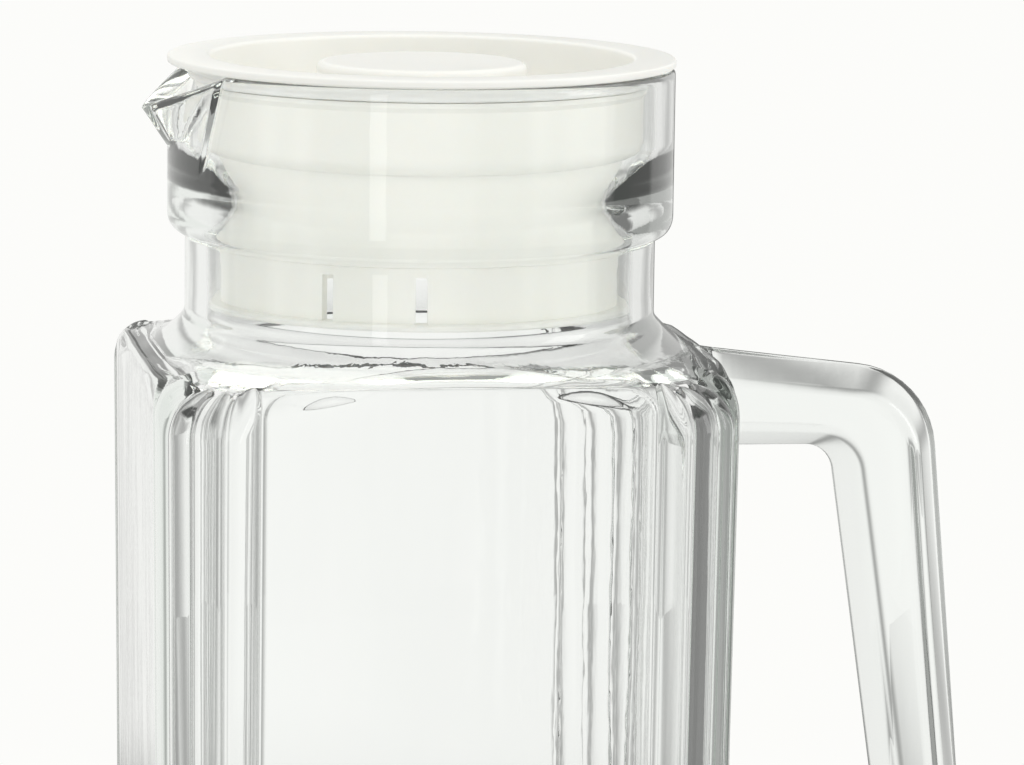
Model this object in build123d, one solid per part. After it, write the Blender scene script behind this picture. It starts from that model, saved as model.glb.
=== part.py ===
"""Square glass fridge jug with ribbed corners, a solid glass handle and a push-in lid.

Millimetres. +Z is up, the origin is the middle of the flat base, under the neck's axis.
The pouring lip points to -X and the handle to +X.
"""
import os
from math import cos, radians, sin

from build123d import *

os.makedirs("parts", exist_ok=True)

# Driving sizes: body
BODY_WIDTH = 96.0          # across the flat panels
PANEL_HALF = 32.3          # half width of each flat panel, between the corner ribs
RIBS_PER_CORNER = 4
RIB_GROOVE = 0.9           # depth of each groove below the corner's round
RIB_CROWN = 0.4            # height of each rib above the corner's round
WALL = 3.8
BASE_THICKNESS = 9.0
BASE_EDGE_RADIUS = 4.0
SHOULDER_Z = 166.7         # top of the body above the middle of each panel
SHOULDER_EDGE_RADIUS = 4.5
SHOULDER_FALL = 0.2        # drop of the shoulder for each millimetre outwards
SHOULDER_WALL = 4.4
CAVITY_CORNER_RADIUS = 13.0
CAVITY_EDGE_RADIUS = 7.0

# Driving sizes: neck, collar and pouring lip
NECK_RADIUS = 39.5
NECK_BORE = 35.6
NECK_HEIGHT = 16.6
NECK_FOOT_RADIUS = 3.5
COLLAR_RADIUS = 42.5
COLLAR_BORE = 39.3
COLLAR_HEIGHT = 26.7
COLLAR_EDGE_RADIUS = 3.5
RIM_LIP_RADIUS = 1.2
LEDGE_DEPTH = 17.0         # from the rim down to the ledge inside the collar
LEDGE_FALL = 4.0           # height over which the collar's bore narrows to the neck's
LIP_REACH = 51.6           # from the axis to the lip's keel, carried up to the rim's height
LIP_DROP = 8.3             # fall of the rim over the lip's whole reach
LIP_HALF_ANGLE = 31.6      # from the lip's middle to each root at the rim
LIP_FOOT_ANGLE = 24.5      # the same where the lip dies into the collar
LIP_DEPTH = 13.2           # from the rim to where the lip meets the collar again
LIP_WALL = 3.6             # glass between the keel and the channel behind it
LIP_CHANNEL_ANGLE = 25.5   # half width of the channel at the rim
LIP_CHANNEL_FOOT = 12.0    # the same where the channel begins
LIP_ROOT_SINK = 0.5        # how far the lip's foot is sunk into the collar

# Driving sizes: handle
HANDLE_WIDTH = 15.6
HANDLE_BAR = 12.4          # thickness of the upright bar
HANDLE_TOP = 1.8           # from the shoulder down to the top of the upper arm
HANDLE_ROOT = 16.5         # height of the upper arm where it meets the body
HANDLE_ARM_FALL = 4.4      # fall of the upper arm's top on the way to the corner
HANDLE_GRIP_REACH = 87.7   # from the axis to the bar's outer face at the upper corner
HANDLE_LEAN = 5.9          # degrees that the bar leans outwards going down
HANDLE_HEIGHT = 110.0      # between the upper and the lower outer corner
HANDLE_LOW_FALL = 16.0     # fall of the lower arm on its way back to the body
HANDLE_LOW_ARM = 16.0      # height of the lower arm where it meets the body
HANDLE_SINK = 5.0          # how far the ends run into the body before they are trimmed to it
HANDLE_OUTER_BEND = 16.6
HANDLE_INNER_BEND = 8.0
HANDLE_EDGE_RADIUS = 3.6

# Driving sizes: lid
LID_RADIUS = 42.5
FLANGE_THICKNESS = 1.0
FLANGE_EDGE = 0.4
PLUG_RADIUS = 37.2
PLUG_WALL = 1.8
PLUG_FOOT_RADIUS = 3.4
WELL_DEPTH = 16.0
LID_SKIN = 1.6             # thickness of the well's floor, the knob and the sleeve
KNOB_RADIUS = 17.6
KNOB_SINK = 0.4            # how far the knob's top lies below the flange's top
KNOB_EDGE_RADIUS = 1.4
BEAD = 0.7                 # how far the bead under the seal stands out of the plug
BEAD_HEIGHT = 0.8
SEAL_HEIGHT = 2.4
SLEEVE_RADIUS = 33.3
SLEEVE_STEP = 0.6          # how far the sleeve's upper part stands out
SLEEVE_FOOT_HEIGHT = 1.4
SLEEVE_LENGTH = 40.4       # from the lid's top to the foot of the sleeve
WINDOW_HEIGHT = 7.4
WINDOW_ANGLE = 136.0
SLOT_WIDTH = 1.9
SLOT_PITCH = 26.0
SLOT_COUNT = 2
WINDOW_DIRECTION = 68.8    # where the window faces with the lid closed, from +X towards +Y

# Named clearances
SEAT_GAP = 0.3             # flange to rim, seal to its neighbours
FOOT_GAP = 0.4             # foot of the sleeve to the neck's bore

# Heights and sizes that follow
HALF = BODY_WIDTH / 2
CORNER_RADIUS = HALF - PANEL_HALF
CAVITY_HALF = HALF - WALL
CAVITY_TOP = SHOULDER_Z - SHOULDER_WALL
NECK_BASE_Z = SHOULDER_Z + SHOULDER_FALL * (HALF - NECK_RADIUS)
COLLAR_Z = NECK_BASE_Z + NECK_HEIGHT
RIM_Z = COLLAR_Z + COLLAR_HEIGHT
LEDGE_Z = RIM_Z - LEDGE_DEPTH
FLANGE_Z = RIM_Z + SEAT_GAP
LID_TOP = FLANGE_Z + FLANGE_THICKNESS
FLOOR_Z = LID_TOP - WELL_DEPTH
PLUG_Z = FLOOR_Z - LID_SKIN
FOOT_Z = LID_TOP - SLEEVE_LENGTH
WINDOW_Z = FOOT_Z + SLEEVE_FOOT_HEIGHT
WINDOW_TOP = WINDOW_Z + WINDOW_HEIGHT
SEAL_BORE = PLUG_RADIUS + SEAT_GAP
SEAL_RADIUS = COLLAR_BORE - SEAT_GAP
BEAD_Z = RIM_Z - SEAL_HEIGHT - SEAT_GAP
WELL_RADIUS = PLUG_RADIUS - PLUG_WALL
SLOT_DIRECTION = WINDOW_DIRECTION + 180
NECK_JOIN_Z = NECK_BASE_Z + NECK_FOOT_RADIUS
OVERRUN = 1.0              # how far a cutter runs past the face that it cuts
MATCH = 0.01               # how near a measured size has to come to the one looked for


def rz(*points):
    """Corners of a half section, given as (radius, height)."""
    return [(r, z) for r, z in points]


def turned(corners):
    """Solid of revolution about Z from the half section with these corners."""
    return revolve(Plane.XZ * make_face(Polyline(*corners, close=True)), Axis.Z, 360)


def ring(r_in, r_out, z_low, z_high):
    """Plain ring with a rectangular section, or a disc where r_in is 0."""
    outer = Pos(0, 0, z_low) * extrude(Circle(r_out), z_high - z_low)
    if r_in <= 0:
        return outer
    return outer - Pos(0, 0, z_low - OVERRUN) * extrude(Circle(r_in), z_high - z_low + 2 * OVERRUN)


def circles(shape, radius):
    """Circular edges of a shape that have the given radius, from the lowest to the highest."""
    found = shape.edges().filter_by(GeomType.CIRCLE)
    return ShapeList(e for e in found if abs(e.radius - radius) < MATCH).sort_by(Axis.Z)


def between(shape, z_low, z_high):
    """What lies of a shape between two heights."""
    return shape & ring(0, 2 * BODY_WIDTH, z_low, z_high)


def ribbed_outline():
    """Body section: four flat panels and a round of convex ribs at each corner."""
    groove = CORNER_RADIUS - RIB_GROOVE
    crown = CORNER_RADIUS + RIB_CROWN
    step = 90.0 / RIBS_PER_CORNER
    edges = []
    for quarter in range(4):
        turn = 90.0 * quarter
        grooves = [
            Vector(PANEL_HALF + groove * cos(radians(k * step)), PANEL_HALF + groove * sin(radians(k * step)))
            for k in range(RIBS_PER_CORNER + 1)
        ]
        crowns = [
            Vector(
                PANEL_HALF + crown * cos(radians((k + 0.5) * step)),
                PANEL_HALF + crown * sin(radians((k + 0.5) * step)),
            )
            for k in range(RIBS_PER_CORNER)
        ]
        low = Vector(HALF, -PANEL_HALF + RIB_GROOVE)
        high = Vector(HALF, PANEL_HALF - RIB_GROOVE)
        before = Vector(HALF - RIB_GROOVE, -PANEL_HALF)
        side = [Edge.make_line(before, low), Edge.make_line(low, high), Edge.make_line(high, grooves[0])]
        side += [
            Edge.make_three_point_arc(grooves[k], crowns[k], grooves[k + 1]) for k in range(RIBS_PER_CORNER)
        ]
        edges += [edge.rotate(Axis.Z, turn) for edge in side]
    return Face(Wire(edges))


def soft_block(half, corner, z_low, z_high, edge_low, edge_high):
    """Upright block with a rounded square section and rounded ends."""
    block = Pos(0, 0, z_low) * extrude(RectangleRounded(2 * half, 2 * half, corner), z_high - z_low)
    block = fillet(block.faces().sort_by(Axis.Z)[0].edges(), edge_low)
    return fillet(block.faces().sort_by(Axis.Z)[-1].edges(), edge_high)


def body_shell():
    """Outside of the square body, with its rounded base edge and gently falling shoulder."""
    far = 2 * HALF
    prism = extrude(ribbed_outline(), NECK_BASE_Z)
    block = soft_block(
        HALF + RIB_CROWN, CORNER_RADIUS + RIB_CROWN, 0, NECK_BASE_Z, BASE_EDGE_RADIUS, SHOULDER_EDGE_RADIUS
    )
    far_z = SHOULDER_Z - SHOULDER_FALL * (far - HALF)
    roof = turned(rz((0, 0), (far, 0), (far, far_z), (NECK_RADIUS, NECK_BASE_Z), (0, NECK_BASE_Z)))
    return prism & block & roof


def wedge_section(reach, root_radius, half_angle, heel):
    """Four-sided section of the pouring lip: its keel, its two roots and a heel inside the collar."""
    x = -root_radius * cos(radians(half_angle))
    y = root_radius * sin(radians(half_angle))
    return make_face(Polyline((-reach, 0), (x, y), (-heel, 0), (x, -y), close=True))


def lip_wedge(low_z, low, high):
    """Ruled wedge from the section low at height low_z to the section high at the rim."""
    return loft([Pos(0, 0, low_z) * wedge_section(*low), Pos(0, 0, RIM_Z) * wedge_section(*high)], ruled=True)


def blown_glass():
    """Vessel, neck, collar and pouring lip, in one piece of glass."""
    neck = ring(0, NECK_RADIUS, SHOULDER_Z - SHOULDER_WALL, COLLAR_Z + COLLAR_EDGE_RADIUS)
    shell = body_shell() + neck
    shell = fillet(circles(shell, NECK_RADIUS)[0], NECK_FOOT_RADIUS)

    collar = ring(0, COLLAR_RADIUS, COLLAR_Z, RIM_Z)
    collar = fillet(circles(collar, COLLAR_RADIUS)[0], COLLAR_EDGE_RADIUS)
    collar = fillet(circles(collar, COLLAR_RADIUS)[-1], RIM_LIP_RADIUS)

    heel = NECK_RADIUS - LIP_WALL
    lip = lip_wedge(
        RIM_Z - LIP_DEPTH,
        (COLLAR_RADIUS, COLLAR_RADIUS - LIP_ROOT_SINK, LIP_FOOT_ANGLE, heel),
        (LIP_REACH, COLLAR_RADIUS, LIP_HALF_ANGLE, heel),
    )
    channel = lip_wedge(
        RIM_Z - LIP_DEPTH + LIP_WALL,
        (COLLAR_BORE, COLLAR_BORE - LIP_ROOT_SINK, LIP_CHANNEL_FOOT, heel),
        (LIP_REACH - LIP_WALL, COLLAR_BORE, LIP_CHANNEL_ANGLE, heel),
    )
    root_x = -COLLAR_RADIUS * cos(radians(LIP_HALF_ANGLE))
    slope = LIP_DROP / (LIP_REACH + root_x)
    far = 2 * HALF
    low_end = (-far, RIM_Z - slope * (far + root_x))
    slant = Polyline((root_x, RIM_Z), low_end, (-far, RIM_Z + far), (root_x, RIM_Z + far), close=True)
    slant_cut = extrude(Plane.XZ * make_face(slant), HALF, both=True)

    cavity = soft_block(
        CAVITY_HALF, CAVITY_CORNER_RADIUS, BASE_THICKNESS, CAVITY_TOP, CAVITY_EDGE_RADIUS, CAVITY_EDGE_RADIUS
    )
    bore = turned(
        rz(
            (0, CAVITY_TOP - CAVITY_EDGE_RADIUS),
            (NECK_BORE, CAVITY_TOP - CAVITY_EDGE_RADIUS),
            (NECK_BORE, LEDGE_Z - LEDGE_FALL),
            (COLLAR_BORE, LEDGE_Z),
            (COLLAR_BORE, RIM_Z + OVERRUN),
            (0, RIM_Z + OVERRUN),
        )
    )
    return shell + collar + lip - cavity - bore - channel - slant_cut


def glass_body():
    """Square vessel with its shoulder, up to the foot of the neck."""
    return between(blown_glass(), 0, NECK_JOIN_Z)


def glass_neck():
    """Neck, collar and pouring lip, which continue the vessel's glass."""
    return between(blown_glass(), NECK_JOIN_Z, RIM_Z)


def glass_handle():
    """D-shaped solid bar whose two ends meet the body's right side and follow its surface."""
    lean = sin(radians(HANDLE_LEAN)) / cos(radians(HANDLE_LEAN))
    top = SHOULDER_Z - HANDLE_TOP
    upper = top - HANDLE_ARM_FALL
    lower = upper - HANDLE_HEIGHT
    low_reach = HANDLE_GRIP_REACH + lean * HANDLE_HEIGHT
    root = HALF - HANDLE_SINK
    outside = FilletPolyline(
        (root, top),
        (HANDLE_GRIP_REACH, upper),
        (low_reach, lower),
        (root, lower - HANDLE_LOW_FALL),
        radius=HANDLE_OUTER_BEND,
    )
    under = top - HANDLE_ROOT
    above = lower + HANDLE_LOW_ARM
    inside = FilletPolyline(
        (root, under),
        (HANDLE_GRIP_REACH - HANDLE_BAR + lean * (upper - under), under),
        (HANDLE_GRIP_REACH - HANDLE_BAR + lean * (upper - above), above),
        (root, above - HANDLE_LOW_FALL),
        radius=HANDLE_INNER_BEND,
    )
    ends = [Line(outside @ 0, inside @ 0), Line(outside @ 1, inside @ 1)]
    section = Plane.XZ * make_face([*outside.edges(), *inside.edges(), *ends[0].edges(), *ends[1].edges()])
    bar = extrude(section, HANDLE_WIDTH / 2, both=True)
    long_edges = bar.edges().filter_by(lambda e: abs(abs(e.center().Y) - HANDLE_WIDTH / 2) < MATCH)
    long_edges = long_edges.filter_by(lambda e: e.center().X > root + MATCH)
    return fillet(long_edges, HANDLE_EDGE_RADIUS) - body_shell()


def lid_cap():
    """Flange, well and plug wall of the lid, with the bead that holds the seal."""
    flange = ring(WELL_RADIUS, LID_RADIUS, FLANGE_Z, LID_TOP)
    flange = fillet(circles(flange, LID_RADIUS), FLANGE_EDGE)
    plug = ring(0, PLUG_RADIUS, PLUG_Z, LID_TOP)
    plug = fillet(circles(plug, PLUG_RADIUS)[0], PLUG_FOOT_RADIUS)
    well = ring(0, WELL_RADIUS, FLOOR_Z, LID_TOP + OVERRUN)
    knob_hole = ring(0, KNOB_RADIUS - LID_SKIN, PLUG_Z - OVERRUN, LID_TOP)
    bead = turned(
        rz(
            (WELL_RADIUS + LID_SKIN / 2, BEAD_Z - 2 * BEAD_HEIGHT),
            (PLUG_RADIUS, BEAD_Z - 2 * BEAD_HEIGHT),
            (PLUG_RADIUS + BEAD, BEAD_Z - BEAD_HEIGHT),
            (PLUG_RADIUS + BEAD, BEAD_Z),
            (WELL_RADIUS + LID_SKIN / 2, BEAD_Z),
        )
    )
    return plug + flange + bead - well - knob_hole


def lid_knob():
    """Hollow round grip that stands in the middle of the well."""
    top = LID_TOP - KNOB_SINK
    knob = ring(0, KNOB_RADIUS, FLOOR_Z, top)
    knob = fillet(circles(knob, KNOB_RADIUS)[-1], KNOB_EDGE_RADIUS)
    return knob - ring(0, KNOB_RADIUS - LID_SKIN, FLOOR_Z - OVERRUN, top - LID_SKIN)


def lid_seal():
    """Soft ring round the plug that grips the collar's bore."""
    seal = ring(SEAL_BORE, SEAL_RADIUS, RIM_Z - SEAL_HEIGHT, RIM_Z)
    return fillet(circles(seal, SEAL_RADIUS), FLANGE_EDGE)


def strainer_sleeve():
    """Sleeve below the plug: a wide pouring window on one side, narrow strainer slots on the other."""
    inner = SLEEVE_RADIUS - LID_SKIN
    sleeve = ring(inner, SLEEVE_RADIUS, FOOT_Z, PLUG_Z)
    sleeve += ring(inner, SLEEVE_RADIUS + SLEEVE_STEP, WINDOW_TOP, PLUG_Z)
    sleeve += ring(inner, NECK_BORE - FOOT_GAP, FOOT_Z, WINDOW_Z)
    reach = 2 * NECK_BORE
    start = radians(WINDOW_DIRECTION - WINDOW_ANGLE / 2)
    middle = radians(WINDOW_DIRECTION)
    end = radians(WINDOW_DIRECTION + WINDOW_ANGLE / 2)
    sector = make_face(
        Polyline(
            (0, 0),
            (reach * cos(start), reach * sin(start)),
            (2 * reach * cos(middle), 2 * reach * sin(middle)),
            (reach * cos(end), reach * sin(end)),
            close=True,
        )
    )
    sleeve -= Pos(0, 0, WINDOW_Z) * extrude(sector, WINDOW_HEIGHT)
    slot = Box(4 * LID_SKIN, SLOT_WIDTH, WINDOW_HEIGHT)
    for k in range(SLOT_COUNT):
        angle = SLOT_DIRECTION + SLOT_PITCH * (k - (SLOT_COUNT - 1) / 2)
        sleeve -= Rot(0, 0, angle) * Pos(SLEEVE_RADIUS, 0, WINDOW_Z + WINDOW_HEIGHT / 2) * slot
    return sleeve


for make in (glass_body, glass_neck, glass_handle, lid_cap, lid_knob, lid_seal, strainer_sleeve):
    export_step(Part() + make(), f"parts/{make.__name__}.step")
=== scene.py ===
"""Looks of the square glass fridge jug: pressed glass vessel with its handle, and a push-in plastic lid.

The sizes are in millimetres. Heights of the dataclasses are measured from the lid's flat top, upwards.
"""
import logging
import math
from collections.abc import Sequence
from dataclasses import dataclass, field
from enum import Enum

import bpy
import numpy as np
from bpy.types import Material, Node, NodeSocket, NodeTree, Object
from mathutils import Matrix, Vector


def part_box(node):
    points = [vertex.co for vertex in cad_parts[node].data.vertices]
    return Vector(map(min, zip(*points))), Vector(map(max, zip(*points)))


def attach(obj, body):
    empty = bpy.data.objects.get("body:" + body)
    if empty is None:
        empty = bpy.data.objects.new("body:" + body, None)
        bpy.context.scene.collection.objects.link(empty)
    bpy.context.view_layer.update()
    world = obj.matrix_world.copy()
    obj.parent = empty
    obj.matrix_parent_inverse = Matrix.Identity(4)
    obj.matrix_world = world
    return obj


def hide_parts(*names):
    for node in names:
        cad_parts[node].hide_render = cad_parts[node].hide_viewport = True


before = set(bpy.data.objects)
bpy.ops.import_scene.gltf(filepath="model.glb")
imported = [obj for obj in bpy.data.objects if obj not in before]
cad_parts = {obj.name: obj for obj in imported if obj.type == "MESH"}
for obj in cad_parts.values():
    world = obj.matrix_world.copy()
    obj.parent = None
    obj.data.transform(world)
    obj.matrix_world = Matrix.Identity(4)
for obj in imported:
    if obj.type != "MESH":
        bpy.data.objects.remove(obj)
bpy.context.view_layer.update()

LOG = logging.getLogger("jug")
MM = 0.001
LID_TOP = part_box("lid_cap")[1].z / MM
BASE_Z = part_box("glass_body")[0].z / MM - LID_TOP
WHITE = (0.975, 0.975, 0.955, 1.0)
FAR = 99.0  # further than any panel reaches


class Combining(Enum):
    """What becomes of two closed meshes."""

    JOIN = "UNION"
    CUT = "DIFFERENCE"


class Side(Enum):
    """Quarter turn, in degrees, of each flat panel of the body."""

    HANDLE = 0
    BACK = 90
    LIP = 180
    FRONT = 270


def smooth(values: np.ndarray, low: float, high: float) -> np.ndarray:
    """Smooth step from 0 at low to 1 at high.

    Args:
        values: Numbers to map.
        low: Where the step begins.
        high: Where the step ends.

    Returns:
        The mapped numbers, from 0 to 1.
    """
    t = np.clip((values - low) / (high - low), 0.0, 1.0)
    return t * t * (3.0 - 2.0 * t)


def square_radius(angle: np.ndarray, half: float, corner: float) -> np.ndarray:
    """Distance from the axis to a rounded square, for each polar angle.

    Args:
        angle: Polar angles in radians.
        half: Half width of the square.
        corner: Radius of its corners.

    Returns:
        The distance at each angle.
    """
    c, s = np.abs(np.cos(angle)), np.abs(np.sin(angle))
    flat = half / np.maximum(c, s)
    middle = half - corner
    round_part = middle * (c + s) + np.sqrt(np.maximum(corner**2 - (middle * (c - s)) ** 2, 0.0))
    return np.where(flat * np.minimum(c, s) <= middle, flat, round_part)


def mesh_object(
    name: str, points: np.ndarray, faces: Sequence[Sequence[int]], sharp: float = 180.0
) -> Object:
    """Smooth-shaded mesh object from points in millimetres, measured from the lid's top.

    Args:
        name: Name of the piece.
        points: Its corners, one row each.
        faces: Its faces, as lists of corner numbers.
        sharp: Edges that bend by more degrees than this stay sharp.

    Returns:
        The linked object.
    """
    mesh = bpy.data.meshes.new(name)
    mesh.from_pydata(((points + (0.0, 0.0, LID_TOP)) * MM).tolist(), [], [list(f) for f in faces])
    mesh.validate()
    mesh.shade_smooth()
    if sharp < 180.0:
        mesh.set_sharp_from_angle(angle=math.radians(sharp))
    obj = bpy.data.objects.new(name, mesh)
    bpy.context.scene.collection.objects.link(obj)
    return obj


def circle(turn: np.ndarray, radius: np.ndarray | float, z: np.ndarray | float) -> np.ndarray:
    """Ring of points at these directions, distances from the axis and heights."""
    r = radius + 0.0 * turn
    return np.column_stack((r * np.cos(turn), r * np.sin(turn), z + 0.0 * turn))


def ring_faces(rows: int, count: int, closed_rows: bool = False) -> list[list[int]]:
    """Quads between rings that each have the same number of points.

    Args:
        rows: Number of rings.
        count: Points in each ring.
        closed_rows: Whether the last ring joins the first.

    Returns:
        The quads, as lists of corner numbers.
    """
    last = rows if closed_rows else rows - 1
    faces = []
    for row in range(last):
        low, high = row * count, (row + 1) % rows * count
        for k in range(count):
            n = (k + 1) % count
            faces.append([low + k, low + n, high + n, high + k])
    return faces


def lathe(name: str, profile: Sequence[tuple[float, float]], segments: int, sharp: float) -> Object:
    """Solid of revolution about the jug's axis from a closed half section.

    Args:
        name: Name of the piece.
        profile: (radius, height) pairs, anticlockwise; one that starts and ends on the axis closes there.
        segments: Points in each ring.
        sharp: Edges that bend by more degrees than this stay sharp.

    Returns:
        The linked object.
    """
    on_axis = profile[0][0] == 0.0
    rings = profile[1:-1] if on_axis else profile
    turn = np.linspace(0.0, 2.0 * math.pi, segments, endpoint=False)
    points = [circle(turn, r, z) for r, z in rings]
    faces = ring_faces(len(rings), segments, closed_rows=not on_axis)
    if on_axis:
        points.append(np.array([(0.0, 0.0, profile[0][1]), (0.0, 0.0, profile[-1][1])]))
        pole, last = len(rings) * segments, (len(rings) - 1) * segments
        for k in range(segments):
            n = (k + 1) % segments
            faces.append([pole, n, k])
            faces.append([pole + 1, last + k, last + n])
    return mesh_object(name, np.vstack(points), faces, sharp)


def arc(
    centre: tuple[float, float], radius: float, start: float, end: float, steps: int
) -> list[tuple[float, float]]:
    """Points of a circular arc in a half section.

    Args:
        centre: Its (radius, height) centre.
        radius: Its radius.
        start: First direction, in degrees from outwards towards upwards.
        end: Last direction.
        steps: Number of chords.

    Returns:
        The points, both ends included.
    """
    turns = np.radians(np.linspace(start, end, steps + 1))
    return [(centre[0] + radius * math.cos(a), centre[1] + radius * math.sin(a)) for a in turns]


def combine(target: Object, tool: Object, way: Combining) -> None:
    """Joins or cuts one closed mesh with another, and removes the tool.

    Args:
        target: Object that keeps the result.
        tool: The other closed mesh.
        way: Whether the tool is joined on or cut out.
    """
    modifier = target.modifiers.new(tool.name, "BOOLEAN")
    modifier.operation = way.value
    modifier.solver = "EXACT"
    modifier.object = tool
    bpy.context.view_layer.update()
    shaped = bpy.data.meshes.new_from_object(target.evaluated_get(bpy.context.evaluated_depsgraph_get()))
    target.modifiers.remove(modifier)
    old, target.data = target.data, shaped
    shaped.name = old.name
    bpy.data.meshes.remove(old)
    bpy.data.objects.remove(tool)


class Nodes:
    """Short hand for building one node tree."""

    def __init__(self, tree: NodeTree) -> None:
        """Keeps the tree that the nodes go into."""
        self.tree = tree

    def add(self, kind: str, inputs: dict | None = None, **settings: object) -> Node:
        """Adds a node, sets its options and fills or links its inputs.

        Args:
            kind: Blender's node type.
            inputs: Values or output sockets by input name or number.
            **settings: Options of the node itself.

        Returns:
            The node.
        """
        node = self.tree.nodes.new(kind)
        for key, value in settings.items():
            setattr(node, key, value)
        for key, value in (inputs or {}).items():
            if isinstance(value, NodeSocket):
                self.tree.links.new(value, node.inputs[key])
            else:
                node.inputs[key].default_value = value
        return node

    def math(self, operation: str, *values: object, clamp: bool = False) -> NodeSocket:
        """Result of a Math node with these inputs."""
        node = self.add("ShaderNodeMath", dict(enumerate(values)), operation=operation, use_clamp=clamp)
        return node.outputs[0]

    def blend(self, share: object, first: object, second: object) -> NodeSocket:
        """Number between the first and the second, by this share."""
        return self.add("ShaderNodeMix", {0: share, 2: first, 3: second}, data_type="FLOAT").outputs[0]

    def scale(self, colour: tuple[float, ...], level: NodeSocket) -> NodeSocket:
        """Colour at this brightness."""
        return self.add("ShaderNodeVectorMath", {0: colour[:3], "Scale": level}, operation="SCALE").outputs[0]

    def ramp(self, value: object, start: float, end: float, low: float, high: float) -> NodeSocket:
        """Smooth change from low to high while the value goes from start to end."""
        spans = {0: value, 1: start, 2: end, 3: low, 4: high}
        return self.add("ShaderNodeMapRange", spans, interpolation_type="SMOOTHSTEP").outputs[0]


def new_group(
    name: str, inputs: dict[str, float | tuple[float, ...]], outputs: Sequence[str]
) -> tuple[NodeTree, Nodes, Node]:
    """Shader node group with these sockets and nothing between them yet.

    Args:
        name: Name of the group.
        inputs: The usual value of each input; a tuple makes a vector socket.
        outputs: Names of its outputs, which are all numbers.

    Returns:
        The group, its node helper and the node that hands on the inputs.
    """
    group = bpy.data.node_groups.new(name, "ShaderNodeTree")
    for key, value in inputs.items():
        kind = "NodeSocketVector" if isinstance(value, tuple) else "NodeSocketFloat"
        group.interface.new_socket(key, in_out="INPUT", socket_type=kind).default_value = value
    for key in outputs:
        group.interface.new_socket(key, in_out="OUTPUT", socket_type="NodeSocketFloat")
    n = Nodes(group)
    return group, n, n.add("NodeGroupInput")


def unevenness_group() -> NodeTree:
    """Node group for the soft waves and fine grain that moulded and pressed surfaces have.

    Returns:
        Group with inputs Wave Scale, Grain Scale, Stretch and Grain Share, and outputs Height and Mask.
    """
    usual = {"Wave Scale": 60.0, "Grain Scale": 900.0, "Stretch": 1.0, "Grain Share": 0.2}
    group, n, given = new_group("surface_unevenness", usual, ("Height", "Mask"))
    place = n.add("ShaderNodeTexCoord")
    stretch = n.add("ShaderNodeCombineXYZ", {0: 1.0, 1: 1.0, 2: given.outputs["Stretch"]})
    spot = n.add("ShaderNodeVectorMath", {0: place.outputs["Object"], 1: stretch.outputs[0]}, operation="MULTIPLY")
    wave, grain = (
        n.add("ShaderNodeTexNoise", {"Vector": spot.outputs[0], "Scale": given.outputs[scale], "Detail": detail})
        for scale, detail in (("Wave Scale", 2.0), ("Grain Scale", 3.0))
    )
    height = n.blend(given.outputs["Grain Share"], wave.outputs["Fac"], grain.outputs["Fac"])
    n.add("NodeGroupOutput", {"Height": height, "Mask": wave.outputs["Fac"]})
    return group


@dataclass(frozen=True)
class Finish:
    """Surface of one kind of piece: its colours, gloss and unevenness."""

    name: str
    colour: tuple[float, float, float]
    second: tuple[float, float, float]
    roughness: float
    ior: float
    wave_scale: float
    grain_scale: float
    stretch: float
    grain_share: float
    relief: float

    def start(self, group: NodeTree) -> tuple[Material, Nodes, Node, Node]:
        """Makes the material with its unevenness, and a Principled shader that uses it.

        Args:
            group: The shared unevenness group.

        Returns:
            The material, its node helper, the shader and the unevenness node.
        """
        material = bpy.data.materials.new(self.name)
        material.use_nodes = True
        material.node_tree.nodes.clear()
        n = Nodes(material.node_tree)
        scales = {"Wave Scale": self.wave_scale, "Grain Scale": self.grain_scale}
        shares = {"Stretch": self.stretch, "Grain Share": self.grain_share}
        rough = n.add("ShaderNodeGroup", scales | shares, node_tree=group)
        tone = n.add(
            "ShaderNodeMix",
            {0: rough.outputs["Mask"], 6: (*self.colour, 1.0), 7: (*self.second, 1.0)},
            data_type="RGBA",
        )
        bump = n.add(
            "ShaderNodeBump", {"Height": rough.outputs["Height"], "Strength": 1.0, "Distance": self.relief * MM}
        )
        shader = n.add(
            "ShaderNodeBsdfPrincipled",
            {"Base Color": tone.outputs[2], "Roughness": self.roughness, "IOR": self.ior, "Normal": bump.outputs[0]},
        )
        n.add("ShaderNodeOutputMaterial", {"Surface": shader.outputs[0]})
        return material, n, shader, rough


@dataclass(frozen=True)
class GlassFinish(Finish):
    """Clear pressed glass with a slight tint where it is thick.

    A ray that has been turned back inside more than most_turns times, or met more than longest
    surfaces, leaves the glass straight, so that it isn't lost in the dark.
    """

    tint: tuple[float, float, float] = (0.72, 0.80, 0.74)
    density: float = 12.0
    longest: float = 8.5
    most_turns: float = 2.5

    def make(self, group: NodeTree) -> Material:
        """Builds the glass material.

        Args:
            group: The shared unevenness group.

        Returns:
            The material.
        """
        material, n, shader, _ = self.start(group)
        shader.inputs["Transmission Weight"].default_value = 1.0
        path = n.add("ShaderNodeLightPath")
        turns = n.math("GREATER_THAN", path.outputs["Glossy Depth"], self.most_turns)
        caught = n.math("MAXIMUM", turns, n.math("GREATER_THAN", path.outputs["Ray Depth"], self.longest))
        bend = n.math("MULTIPLY_ADD", caught, 1.0 - self.ior, self.ior)
        material.node_tree.links.new(bend, shader.inputs["IOR"])
        inside = n.add("ShaderNodeVolumeAbsorption", {"Color": (*self.tint, 1.0), "Density": self.density})
        out = next(node for node in material.node_tree.nodes if node.type == "OUTPUT_MATERIAL")
        material.node_tree.links.new(inside.outputs[0], out.inputs["Volume"])
        return material


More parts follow.
